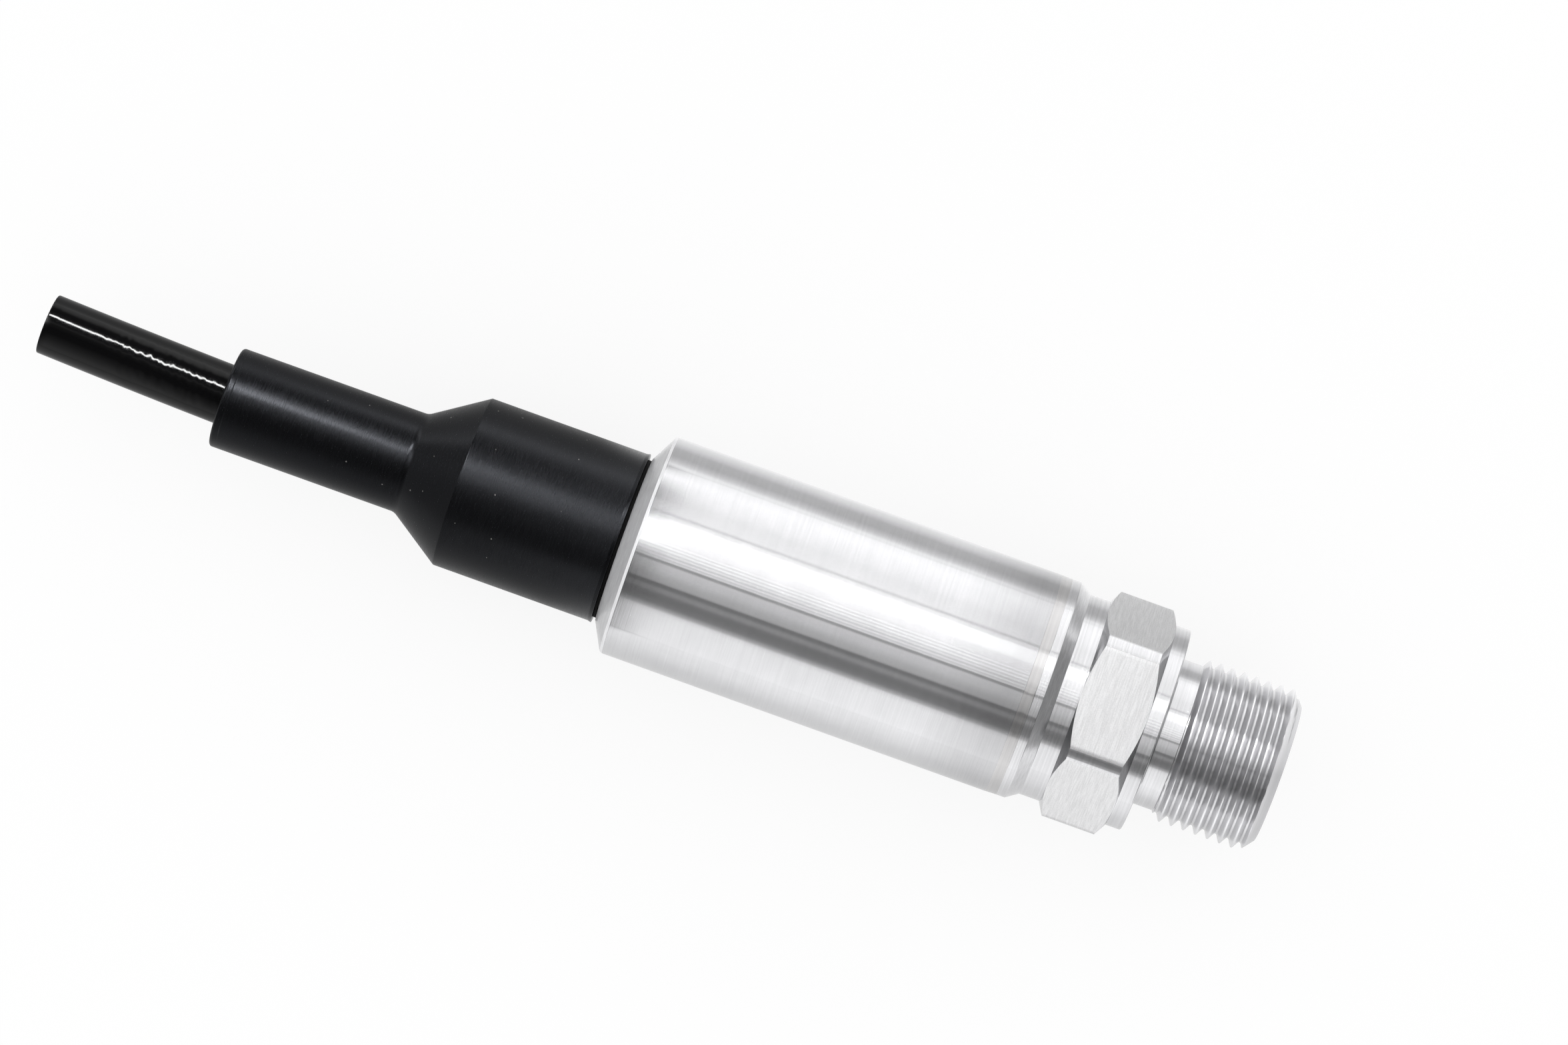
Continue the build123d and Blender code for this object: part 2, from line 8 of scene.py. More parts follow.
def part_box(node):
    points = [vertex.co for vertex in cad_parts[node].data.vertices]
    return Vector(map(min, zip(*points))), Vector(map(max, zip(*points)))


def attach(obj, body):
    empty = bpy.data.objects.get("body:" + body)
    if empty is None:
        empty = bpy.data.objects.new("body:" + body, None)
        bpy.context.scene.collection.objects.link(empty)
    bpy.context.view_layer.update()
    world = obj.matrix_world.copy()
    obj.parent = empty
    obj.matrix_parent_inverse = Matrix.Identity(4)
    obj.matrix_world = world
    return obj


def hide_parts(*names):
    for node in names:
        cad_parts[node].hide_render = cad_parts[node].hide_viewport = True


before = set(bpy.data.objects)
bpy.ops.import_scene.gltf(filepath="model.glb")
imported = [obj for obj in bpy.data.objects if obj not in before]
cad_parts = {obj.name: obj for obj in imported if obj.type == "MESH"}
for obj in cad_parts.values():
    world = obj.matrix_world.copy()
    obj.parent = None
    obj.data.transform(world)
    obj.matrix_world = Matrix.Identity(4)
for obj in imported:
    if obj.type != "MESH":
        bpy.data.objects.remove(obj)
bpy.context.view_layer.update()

# The process fitting is one bar of stainless steel 316L, turned on a lathe: thread, relief groove, gasket
# collar, hexagon, neck and the land that the housing is welded to. Only the hexagon's flats are milled.
# The part's sizes are in mm. What ends in _at or _end is a station along the axis, from the thread's tip, and
# what ends in _r is a radius.
mm = 0.001
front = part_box("process_fitting")[1].x
housing_low, housing_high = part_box("housing_tube")
axis_up = (housing_low.z + housing_high.z) / 2

columns = 216
hex_turn = math.radians(5.4)
column_angles = hex_turn + np.arange(columns) * 2 * math.pi / columns

thread_r = 10.0
thread_root_r = 9.1
thread_pitch = 1.5
thread_crest = thread_pitch / 8
thread_end = 12.45
thread_crest_at = -0.3665
thread_tip_r = 8.4
thread_lead = 1.3
thread_ramp = 0.6
relief_r = 9.0
seal_face_at = 15.2
collar_r = 12.45
hex_at = 17.05
hex_end = 25.3
hex_half_af = 12.5
hex_bar_r = 14.0
hex_rim_r = 12.47
hex_chamfer = math.radians(30)
milled_half = math.radians(26.7)
shoulder_at = 27.8
land_at = 29.25
land_r = 13.45
joint_at = 31.0
weld_half = 0.65
weld_depth = 0.5
body_r = 13.5
bore_r = 12.0
spigot_r = 11.95
spigot_end = 34.4
spigot_chamfer = 0.4
chamber_at = 17.2
cavity_depth = 0.6
cavity_r = 6.5
chamber_r = 9.55
sensor_back_at = 30.6
retainer_seat_r = 10.55
port_r = 2.0
port_break = 0.4
support = 0.04


def linear(hex_colour):
    """A colour written as sRGB hex, as the linear RGBA that the nodes take."""
    parts = [int(hex_colour[place:place + 2], 16) / 255 for place in (1, 3, 5)]
    return [part / 12.92 if part <= 0.04045 else ((part + 0.055) / 1.055) ** 2.4 for part in parts] + [1.0]


def add(tree, kind, inputs=None, out=0, **settings):
    """Adds a node with its settings, gives each input a value or a link, and returns one of its outputs."""
    node = tree.nodes.new(kind)
    for name, value in settings.items():
        setattr(node, name, value)
    for place, value in (inputs or {}).items():
        if isinstance(value, bpy.types.NodeSocket):
            tree.links.new(value, node.inputs[place])
        else:
            node.inputs[place].default_value = value
    return node.outputs[out] if len(node.outputs) else node


def maths(tree, operation, *values):
    """The result of one math node on numbers and outputs."""
    return add(tree, "ShaderNodeMath", dict(enumerate(values)), operation=operation)


def vectors(tree, operation, *values):
    """The result of one vector node on two vectors."""
    return add(tree, "ShaderNodeVectorMath", dict(enumerate(values)), operation=operation)


def scaled(tree, vector, factor):
    """A vector or a colour times a factor."""
    return add(tree, "ShaderNodeVectorMath", {0: vector, 3: factor}, operation="SCALE")


def xyz(tree, vector):
    """The three parts of a vector."""
    split = tree.nodes.new("ShaderNodeSeparateXYZ")
    tree.links.new(vector, split.inputs[0])
    return split.outputs


def between(tree, value, low, high, at_low=0.3, at_high=0.7):
    """A level from low to high as value goes from at_low to at_high, limits that a noise seldom leaves."""
    return add(tree, "ShaderNodeMapRange", {0: value, 1: at_low, 2: at_high, 3: low, 4: high})


def noise(tree, place, grain, detail, roughness=0.5):
    """A noise with that grain in mm, given once, or as a pair for along the axis and across it."""
    scale = 1.0
    if isinstance(grain, tuple):
        along, across = 1 / (grain[0] * mm), 1 / (grain[1] * mm)
        place = add(tree, "ShaderNodeMapping", {0: place, 3: (along, across, across)})
    else:
        scale = 1 / (grain * mm)
    return add(tree, "ShaderNodeTexNoise",
               {0: place, "Scale": scale, "Detail": detail, "Roughness": roughness})


def relief(tree, height, depth, over=None):
    """The normal of a surface with a relief of that depth in mm, over another normal if one is given."""
    inputs = {"Height": height, "Distance": depth * mm, "Strength": 1.0}
    if over is not None:
        inputs["Normal"] = over
    return add(tree, "ShaderNodeBump", inputs)


def new_material(name):
    """An empty node material, with its tree and the place on the object."""
    material = bpy.data.materials.new(name)
    material.use_nodes = True
    tree = material.node_tree
    tree.nodes.clear()
    return material, tree, add(tree, "ShaderNodeTexCoord", out="Object")


def principled(tree, inputs):
    """Ends a material in one Principled surface with those inputs."""
    add(tree, "ShaderNodeOutputMaterial", {"Surface": add(tree, "ShaderNodeBsdfPrincipled", inputs)})


def rounded(corners, steps=4):
    """The outline through (station, radius, edge round) corners, as arcs and runs with support points."""
    most_of_side, nearly_straight = 0.45, 1.56
    outline = []
    for number, (at, radius, edge) in enumerate(corners):
        here = np.array((at, radius), float)
        before = np.array(corners[number - 1][:2], float) - here
        after = np.array(corners[(number + 1) % len(corners)][:2], float) - here
        room = most_of_side * min(np.linalg.norm(before), np.linalg.norm(after))
        before /= np.linalg.norm(before)
        after /= np.linalg.norm(after)
        half = math.acos(float(np.clip(before @ after, -1, 1))) / 2
        if not edge or half > nearly_straight:
            outline.append(here)
            continue
        reach = min(edge / math.tan(half), room)
        towards = (before + after) / np.linalg.norm(before + after)
        centre = here + towards * reach / math.cos(half)
        start, end = here + before * reach - centre, here + after * reach - centre
        outline.append(centre + start + before * min(support, room / 2))
        swing = math.pi - 2 * half
        for step in range(steps + 1):
            share = step / steps
            arm = start * math.sin((1 - share) * swing) + end * math.sin(share * swing)
            outline.append(centre + arm / math.sin(swing))
        outline.append(centre + end + after * min(support, room / 2))
    return outline


def net_faces(rings, count, closed):
    """Faces from each ring of points to the next, and from the last to the first if the net is closed."""
    around = np.arange(count)
    beyond = (around + 1) % count
    faces = []
    for ring in range(rings if closed else rings - 1):
        here, there = ring * count, (ring + 1) % rings * count
        corners = (here + around, here + beyond, there + beyond, there + around)
        faces.extend(np.stack(corners, axis=1).tolist())
    return faces


def skin(name, rows, closed=True):
    """A mesh through rings round the axis, each row a (station, radius) pair of numbers or arrays."""
    points = []
    for at, radius in rows:
        at, radius = np.broadcast_to(at, columns), np.broadcast_to(radius, columns)
        side, up = radius * mm * np.sin(column_angles), radius * mm * np.cos(column_angles)
        points.extend(np.stack((front - at * mm, side, axis_up + up), axis=1).tolist())
    mesh = bpy.data.meshes.new(name)
    mesh.from_pydata(points, [], net_faces(len(rows), columns, closed))
    mesh.validate()
    return mesh


def finished(mesh, material=None, sharp=35):
    """Turns the faces outwards and shades them smooth, apart from edges sharper than that many degrees."""
    shape = bmesh.new()
    shape.from_mesh(mesh)
    bmesh.ops.remove_doubles(shape, verts=shape.verts, dist=1e-7)
    bmesh.ops.recalc_face_normals(shape, faces=shape.faces)
    shape.to_mesh(mesh)
    shape.free()
    mesh.shade_smooth()
    mesh.set_sharp_from_angle(angle=math.radians(sharp))
    if material:
        mesh.materials.append(material)
    return mesh


def linked(name, data):
    """An object for a mesh, a curve or a camera, in the scene."""
    piece = bpy.data.objects.new(name, data)
    bpy.context.scene.collection.objects.link(piece)
    return piece


def placed(name, mesh, node):
    """The object of a finished mesh, riding on the transmitter in place of the frame's node."""
    piece = linked(name, mesh)
    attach(piece, "root")
    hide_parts(node)
    return piece


# Turned stainless steel 316L: bright and neutral, with fine rings from the tool. The rings blur a reflection
# along the axis and leave it sharp across it, so a lamp shows as a long crisp band, and a haze lies over it.
# The real rings are about 0.05 mm apart, too fine for the render, and are drawn 0.15 to 0.3 mm apart.
ring_run = 90
cloud_grain = 4.0
haze_roughness = 0.45


def turned_steel(name, colour, roughness, haze, ring_pitch, ring_depth, ring_tone, cloud_depth, darkening_along_x=None,
                 painted_groove_shade=None):
    """Steel with turning rings round the axis. If given, the first of the last two makes the colour darker
    along x, and the last makes it darker towards a small radius, painted shade in a thread's grooves; each is
    (start, end, share), with start and end in metres."""
    material, tree, place = new_material(name)
    facing = add(tree, "ShaderNodeNewGeometry", out="Normal")
    arm = vectors(tree, "SUBTRACT", place, (0, 0, axis_up))
    around = vectors(tree, "CROSS_PRODUCT", (1, 0, 0), arm)
    across = vectors(tree, "CROSS_PRODUCT", around, facing)
    rings = noise(tree, place, (ring_pitch, ring_pitch * ring_run), detail=3.0, roughness=0.7)
    cloud = noise(tree, place, cloud_grain, detail=2.0)
    marks = between(tree, rings, 1 - ring_tone, 1 + ring_tone)
    tone = maths(tree, "MULTIPLY", between(tree, cloud, 0.95, 1.0), marks)
    # If given, the colour gets darker along x between two places.
    if darkening_along_x:
        start, end, share = darkening_along_x
        tone = maths(tree, "MULTIPLY", tone, between(tree, xyz(tree, place)[0], 1.0, share, start, end))
    # Painted shade: the colour gets darker towards the root radius, where the thread's grooves lie in shade.
    if painted_groove_shade:
        start, end, share = painted_groove_shade
        reach = add(tree, "ShaderNodeVectorMath", {0: around}, out="Value", operation="LENGTH")
        tone = maths(tree, "MULTIPLY", tone, between(tree, reach, 1.0, share, start, end))
    normal = relief(tree, rings, ring_depth, over=relief(tree, cloud, cloud_depth))
    common = {"Base Color": scaled(tree, linear(colour)[:3], tone), "Metallic": 1.0, "Tangent": across,
              "Normal": normal}
    gloss = between(tree, rings, roughness * 0.8, roughness * 1.2)
    crisp = add(tree, "ShaderNodeBsdfPrincipled", {**common, "Roughness": gloss, "Anisotropic": 0.8})
    hazy = add(tree, "ShaderNodeBsdfPrincipled", {**common, "Roughness": haze_roughness, "Anisotropic": 0.5})
    surface = add(tree, "ShaderNodeMixShader", {0: haze, 1: crisp, 2: hazy})
    add(tree, "ShaderNodeOutputMaterial", {"Surface": surface})
    return material


turned_stainless = turned_steel("turned_stainless_316L", "#D6D6D8", roughness=0.08, haze=0.25,
                                ring_pitch=0.25, ring_depth=0.0012, ring_tone=0.08, cloud_depth=0.004)

# The same steel in the thread, with painted shade that darkens the grooves against the crests.
threaded_stainless = turned_steel("thread_cut_stainless_316L", "#EEEEF0", roughness=0.16, haze=0.3,
                                  ring_pitch=0.25, ring_depth=0.0012, ring_tone=0.06, cloud_depth=0.004,
                                  painted_groove_shade=(thread_r * mm, thread_root_r * mm, 0.82))


# Matt stainless steel of the bevels and shoulders: the same bar under a coarser cut, which scatters light.
def matt_steel(name, colour, roughness, scatter):
    """Steel with a matt cut; scatter is the share of light that it spreads evenly."""
    material, tree, place = new_material(name)
    cut = noise(tree, place, (0.2, 2.0), detail=4.0, roughness=0.7)
    shade = scaled(tree, linear(colour)[:3], between(tree, cut, 0.85, 1.05))
    principled(tree, {"Base Color": shade, "Metallic": 1 - scatter, "Roughness": roughness,
                      "Normal": relief(tree, cut, 0.003)})
    return material


matt_shoulder = matt_steel("matt_turned_stainless_316L", "#CDCDCF", roughness=0.17, scatter=0.08)

# Milled stainless steel of the hexagon's flats: the same bar, but the cutter leaves a matte field of fine
# lines across the axis with a bright speckle. The real lines are 0.1 mm apart and are drawn 0.15 mm apart.
mill_pitch = 0.15
mill_run = 2.5
milled_stainless, tree, place = new_material("milled_stainless_316L")
marks = noise(tree, place, (mill_pitch, mill_run), detail=2.0, roughness=0.6)
speckle = maths(tree, "MULTIPLY", noise(tree, place, mill_pitch, detail=1.0), 0.5)
mixed = maths(tree, "ADD", marks, speckle)
shade = scaled(tree, linear("#E3E3E4")[:3], between(tree, mixed, 0.84, 1.02, 0.55, 0.95))
principled(tree, {"Base Color": shade, "Metallic": 1.0, "Roughness": 0.38,
                  "Normal": relief(tree, mixed, 0.002)})

# The blank: everything on the fitting but its thread, with the hexagon's chamfers where cone and flat meet.
from_flat = (column_angles - hex_turn + math.pi / 6) % (math.pi / 3) - math.pi / 6
hex_r = np.minimum(hex_half_af / np.cos(from_flat), hex_bar_r)
chamfer_len = (hex_r - hex_rim_r) * math.tan(hex_chamfer)
relief_rows = rounded([
    (thread_end, relief_r, 0),
    (seal_face_at, relief_r, 0.3),
    (seal_face_at, collar_r, 0.15),
    (hex_at, collar_r, 0),
], steps=6)
hex_rows = [
    (hex_at, hex_rim_r),
    (hex_at + chamfer_len, hex_r),
    (hex_at + chamfer_len + support, hex_r),
    (hex_end - chamfer_len - support, hex_r),
    (hex_end - chamfer_len, hex_r),
    (hex_end, hex_rim_r),
]
inner_rows = rounded([
    (hex_end, collar_r, 0),
    (shoulder_at, collar_r, 0.12),
    (land_at, land_r, 0.1),
    (joint_at - weld_half - support, land_r, 0),
    (joint_at - weld_half, land_r, 0),
    (joint_at, body_r - weld_depth, 0),
    (joint_at, spigot_r, 0),
    (spigot_end - spigot_chamfer, spigot_r, 0),
    (spigot_end, spigot_r - spigot_chamfer, 0),
    (spigot_end, retainer_seat_r, 0),
    (sensor_back_at, retainer_seat_r, 0),
    (sensor_back_at, chamber_r, 0),
    (chamber_at, chamber_r, 0),
    (chamber_at, cavity_r, 0),
    (chamber_at - cavity_depth, cavity_r, 0),
    (chamber_at - cavity_depth, port_r, 0),
    (port_break, port_r, 0.1),
    (0, port_r + port_break, 0.1),
    (0, thread_tip_r, 0),
], steps=3)
blank = skin("fitting_blank", relief_rows + hex_rows + inner_rows, closed=False)
for material in (turned_stainless, milled_stainless, matt_shoulder):
    blank.materials.append(material)
flat_row = len(relief_rows) + 1
flat_columns = np.cos(from_flat) > math.cos(milled_half)
both_sides_flat = flat_columns & np.roll(flat_columns, -1)
for row in range(flat_row, flat_row + 3):
    for column in np.flatnonzero(both_sides_flat):
        blank.polygons[row * columns + int(column)].material_index = 1
for face in blank.polygons:
    at = (front - face.center.x) / mm
    if shoulder_at < at < land_at and math.hypot(face.center.y, face.center.z - axis_up) > bore_r * mm:
        face.material_index = 2


def tree_input(tree, name, value):
    """The identifier of a new number among a Geometry Nodes tree's inputs, with its default."""
    socket = tree.interface.new_socket(name, in_out="INPUT", socket_type="NodeSocketFloat")
    socket.default_value = value
    return socket.identifier


def grown(name, mesh, tree, values):
    """The plain mesh that a Geometry Nodes tree makes of a mesh, with values for its inputs by identifier."""
    carrier = linked(name, mesh)
    modifier = carrier.modifiers.new("grow", "NODES")
    modifier.node_group = tree
    for identifier, value in values.items():
        modifier[identifier] = value
    carrier.update_tag()
    graph = bpy.context.evaluated_depsgraph_get()
    made = bpy.data.meshes.new_from_object(carrier.evaluated_get(graph))
    made.name = name
    carrier.modifiers.remove(modifier)
    bpy.data.objects.remove(carrier)
    return made


# The right-hand M20 x 1.5 thread: a net of points that winds round the axis with the thread itself, so that
# each of its lines stays on one flank, crest or root. Lead-in and run-out are cones that cut the helix short.
rows_per_pitch = 24
flank_slope = 1 / math.tan(math.radians(30))
root_round = 0.12
cutter = bpy.data.node_groups.new("cut_thread", "GeometryNodeTree")
cutter.interface.new_socket("Blank", in_out="INPUT", socket_type="NodeSocketGeometry")
sizes = {"Pitch": thread_pitch, "Crest": thread_crest, "Crest Radius": thread_r, "Root Radius": thread_root_r,
         "End": thread_end, "Crest At": thread_crest_at, "Tip Radius": thread_tip_r, "Lead": thread_lead,
         "Ramp": thread_ramp, "Relief Radius": relief_r, "Start Angle": hex_turn}
values = {tree_input(cutter, size, value): value for size, value in sizes.items()}
cutter.interface.new_socket("Fitting", in_out="OUTPUT", socket_type="NodeSocketGeometry")
given = cutter.nodes.new("NodeGroupInput").outputs
net_rows = round((thread_end / thread_pitch + 1) * rows_per_pitch) + 1
net = add(cutter, "GeometryNodeMeshGrid", {0: 1.0, 1: 1.0, 2: net_rows, 3: columns + 1})
net_x, net_y = xyz(cutter, add(cutter, "GeometryNodeInputPosition"))[:2]
along = maths(cutter, "ADD", net_x, 0.5)
turn = maths(cutter, "ADD", net_y, 0.5)
angle = maths(cutter, "MULTIPLY_ADD", turn, 2 * math.pi, given["Start Angle"])
wound = maths(cutter, "MULTIPLY_ADD", along, (net_rows - 1) / rows_per_pitch, turn)
wound = maths(cutter, "SUBTRACT", wound, 1.0)
wound = maths(cutter, "MULTIPLY", wound, given["Pitch"])
at = add(cutter, "ShaderNodeClamp", {0: wound, 1: 0.0, 2: given["End"]})

# How far a point lies beside the nearest crest, as a share of the pitch, and how deep the flank is there.
phase = maths(cutter, "SUBTRACT", at, given["Crest At"])
phase = maths(cutter, "DIVIDE", phase, given["Pitch"])
phase = maths(cutter, "SUBTRACT", phase, turn)
phase = maths(cutter, "FRACT", maths(cutter, "ADD", phase, 0.5))
phase = maths(cutter, "ABSOLUTE", maths(cutter, "SUBTRACT", phase, 0.5))
beside = maths(cutter, "MULTIPLY", phase, given["Pitch"])
drop = maths(cutter, "SUBTRACT", beside, maths(cutter, "MULTIPLY", given["Crest"], 0.5))
drop = maths(cutter, "MULTIPLY", maths(cutter, "MAXIMUM", drop, 0.0), flank_slope)
flank = maths(cutter, "SUBTRACT", given["Crest Radius"], drop)
helix = maths(cutter, "SMOOTH_MAX", flank, given["Root Radius"], root_round)
rise = maths(cutter, "SUBTRACT", given["Crest Radius"], given["Tip Radius"])
lead = maths(cutter, "DIVIDE", at, given["Lead"])
lead = maths(cutter, "MULTIPLY_ADD", lead, rise, given["Tip Radius"])
fall = maths(cutter, "SUBTRACT", given["Crest Radius"], given["Relief Radius"])
ramp = maths(cutter, "DIVIDE", maths(cutter, "SUBTRACT", given["End"], at), given["Ramp"])
ramp = maths(cutter, "MULTIPLY_ADD", ramp, fall, given["Relief Radius"])
radius = maths(cutter, "MINIMUM", maths(cutter, "MINIMUM", helix, lead), ramp)
radius = maths(cutter, "MULTIPLY", radius, mm)
forward = maths(cutter, "MULTIPLY_ADD", at, -mm, front)
side = maths(cutter, "MULTIPLY", radius, maths(cutter, "SINE", angle))
height = maths(cutter, "MULTIPLY_ADD", radius, maths(cutter, "COSINE", angle), axis_up)
moved_to = add(cutter, "ShaderNodeCombineXYZ", {0: forward, 1: side, 2: height})
helical = add(cutter, "GeometryNodeSetPosition", {"Geometry": net, "Position": moved_to})
helical = add(cutter, "GeometryNodeSetMaterial", {"Geometry": helical, "Material": threaded_stainless})
joined = cutter.nodes.new("GeometryNodeJoinGeometry")
cutter.links.new(helical, joined.inputs[0])
cutter.links.new(given["Blank"], joined.inputs[0])
whole = add(cutter, "GeometryNodeMergeByDistance", {"Geometry": joined.outputs[0], "Distance": 1e-6})
add(cutter, "NodeGroupOutput", {0: add(cutter, "GeometryNodeRealizeInstances", {"Geometry": whole})})

fitting_mesh = grown("process_fitting_threaded", blank, cutter, values)
placed("process_fitting_threaded", finished(fitting_mesh), "process_fitting")

# The weld seam joins fitting and housing. It was ground nearly flush, which left a shallow uneven band, where
# the long reflections break, and a short undercut at its fitting side, on top as the transmitter lies.
weld_rows = 18
weld_relief = 0.016
weld_bites = 46
bite_bow, bite_sway = 2.2, 0.4
even_share, drift_share, bite_share = 0.7, 0.25, 0.3
fitting_step, housing_step = 0.001, 0.01
undercut = 0.012
undercut_middle = math.radians(-4)
undercut_half = math.radians(8)
from_undercut = (column_angles - undercut_middle + math.pi) % (2 * math.pi) - math.pi
seam_start_r = land_r - fitting_step - undercut * np.exp(-(from_undercut / undercut_half) ** 2)
drift = np.sin(column_angles * 3 + 1.1) + 0.6 * np.sin(column_angles * 7 + 4.0)
seam_rows = [(joint_at - weld_half, seam_start_r)]
for share in np.linspace(-1, 1, weld_rows)[1:-1]:
    crown = 1 - share ** 2
    bite = np.cos(column_angles * weld_bites + bite_bow * share ** 2 + bite_sway * drift)
    uneven = even_share + drift_share * drift * share + bite_share * bite * crown
    flush_r = land_r + (body_r - land_r) * (share + 1) / 2
    seam_rows.append((joint_at + share * weld_half, flush_r - weld_relief * crown * uneven))
seam_rows.append((joint_at + weld_half, body_r - housing_step))
seam_rows.append((joint_at, body_r - weld_depth))
ground_weld = turned_steel("ground_weld_316L", "#C8C7C7", roughness=0.12, haze=0.35, ring_pitch=0.3,
                           ring_depth=0.002, ring_tone=0.1, cloud_depth=0.01)
seam_mesh = finished(skin("weld_seam_ground", seam_rows), ground_weld, sharp=50)
placed("weld_seam_ground", seam_mesh, "weld_seam")

# The housing is a bored and turned tube of 316L with its end wall in one piece. Its outside is polished
# brighter than the fitting, and its colour is made a little darker near the weld. At the cable side it has a
# bevel, faced matt, and before it a narrow edge, broken by hand, whose near-white, mostly matt band is a
# painted
# highlight: the line of light that the edge catches.
cable_face_at = 81.57
end_wall_at = 77.57
bevel_len = 1.69
edge_len = 0.35
edge_drop = 0.15
end_face_r = 10.15
nipple_r = 8.0
housing_corners = [
    (joint_at, bore_r, 0),
    (joint_at, body_r - weld_depth, 0),
    (joint_at + weld_half, body_r, 0.03),
    (cable_face_at - bevel_len - edge_len, body_r, 0.12),
    (cable_face_at - bevel_len, body_r - edge_drop, 0.08),
    (cable_face_at, end_face_r, 0.1),
    (cable_face_at, nipple_r, 0),
    (end_wall_at, nipple_r, 0),
    (end_wall_at, bore_r, 1.0),
]
polished_stainless = turned_steel("polished_stainless_316L", "#D8D8DA", roughness=0.06, haze=0.25,
                                  ring_pitch=0.15, ring_depth=0.0006, ring_tone=0.035, cloud_depth=0.003,
                                  darkening_along_x=(5 * mm, 14 * mm, 0.78))
matt_bevel = matt_steel("matt_faced_stainless_316L", "#E6E6E8", roughness=0.22, scatter=0.55)
# Painted highlight: the narrow edge is near-white and mostly matt, so that it shows as a bright line under
# any lamp.
painted_highlight_edge = matt_steel("painted_highlight_edge_316L", "#F0F0F2", roughness=0.35, scatter=0.8)
housing_mesh = finished(skin("housing_tube_polished", rounded(housing_corners)), polished_stainless)
housing_mesh.materials.append(matt_bevel)
housing_mesh.materials.append(painted_highlight_edge)
bevel_from = front - (cable_face_at - bevel_len) * mm
edge_from = bevel_from + edge_len * mm
for face in housing_mesh.polygons:
    arm = math.hypot(face.center.y, face.center.z - axis_up)
    if face.center.x < bevel_from and arm > (end_face_r - 0.1) * mm:
        face.material_index = 1
    # The faces of the narrow edge get the painted highlight.
    elif bevel_from <= face.center.x < edge_from and arm > bore_r * mm:
        face.material_index = 2
placed("housing_tube_polished", housing_mesh, "housing_tube")

# The gasket under the boot is a thin ring of black rubber, moulded, dull and almost lost in the gap's shadow.
gasket_end = 82.02
gasket_r = 9.8
dull_rubber, tree, place = new_material("dull_black_nitrile_rubber")
grain = noise(tree, place, 0.2, detail=3.0)
principled(tree, {"Base Color": scaled(tree, linear("#101010")[:3], between(tree, grain, 0.8, 1.2)),
                  "Roughness": 0.8, "Specular IOR Level": 0.2, "Normal": relief(tree, grain, 0.01)})
gasket_corners = [
    (cable_face_at, nipple_r, 0),
    (cable_face_at, gasket_r, 0.08),
    (gasket_end, gasket_r, 0.08),
    (gasket_end, nipple_r, 0),
]
gasket_mesh = finished(skin("boot_gasket_ring", rounded(gasket_corners)), dull_rubber)
placed("boot_gasket_ring", gasket_mesh, "boot_gasket")

# The strain relief boot is moulded of black rubber: a thick end screwed onto the nipple, a cone and a thin
# sleeve. A fine parting line runs round where its mouth starts to round off, and its skin is a little uneven.
boot_r = 10.4
cone_at = 101.77
sleeve_at = 108.22
sleeve_r = 6.1
mouth_at = 131.42
boot_bore_r = 3.8
washer_end = 95.02
parting_at = mouth_at - 0.9
parting_width = 0.1
parting_depth = 0.03
lip_len = 0.4
lip_rise = 0.12
boot_corners = [
    (gasket_end, nipple_r, 0),
    (gasket_end, boot_r + lip_rise, 0.05),
    (gasket_end + lip_len, boot_r, 0.3),
    (cone_at, boot_r, 0.25),
    (sleeve_at, sleeve_r, 1.5),
    (parting_at - parting_width, sleeve_r, 0.02),
    (parting_at - parting_width / 2, sleeve_r - parting_depth, 0),
    (parting_at, sleeve_r, 0.02),
    (mouth_at, sleeve_r, 0.9),
    (mouth_at, boot_bore_r, 0.06),
    (washer_end, boot_bore_r, 0),
    (washer_end, nipple_r, 0),
]
boot_mesh = skin("strain_relief_boot_moulded", rounded(boot_corners, steps=8))


def blended(tree, share, first, second):
    """Two colours or levels, mixed by a share of the second."""
    return add(tree, "ShaderNodeMix", {0: share, 6: first, 7: second}, out=2, data_type="RGBA")


# Satin black moulded rubber: finely grained and a little drawn round the axis. Its skin is divided into cells
# of 1.6 mm, and what bare_share leaves of them has a speck of dust each.
speck_cell = 1.6
speck_r = 0.055
bare_share = 0.72
satin_rubber, tree, place = new_material("satin_black_moulded_rubber")
grain = noise(tree, place, 0.2, detail=4.0, roughness=0.65)
drag = noise(tree, place, (0.2, 1.5), detail=2.0)
wave = noise(tree, place, 3.0, detail=1.0)
specks = add(tree, "ShaderNodeTexVoronoi", {0: place, "Scale": 1 / (speck_cell * mm)})
cell_number = add(tree, "ShaderNodeSeparateColor", {0: specks.node.outputs["Color"]})
chosen = maths(tree, "GREATER_THAN", cell_number, bare_share)
dust = maths(tree, "MULTIPLY", chosen, maths(tree, "LESS_THAN", specks, speck_r))
normal = relief(tree, wave, 0.02)
normal = relief(tree, drag, 0.0015, over=normal)
normal = relief(tree, grain, 0.002, over=normal)
principled(tree, {"Base Color": blended(tree, dust, linear("#060607"), linear("#6E6C69")),
                  "Roughness": between(tree, drag, 0.24, 0.3), "Specular IOR Level": 0.4,
                  "Specular Tint": linear("#F0F4FF"), "Normal": normal})
boot = placed("strain_relief_boot_moulded", finished(boot_mesh, satin_rubber, sharp=40),
              "strain_relief_boot")

# The cable is held straight by the boot and then drifts a little to one side, to a square cut. Its route is
# the one the frame was made with, and everything in the cable follows the smooth line through it.
jacket_at = 81.47
bend_at = 130.92
cut_at = 154.12
route = [(jacket_at, 0.0), ((jacket_at + bend_at) / 2, 0.0), (bend_at, 0.02), (cut_at, 1.0)]
cable_r = 3.65
jacket_bore_r = 2.65
cable_sides = 96


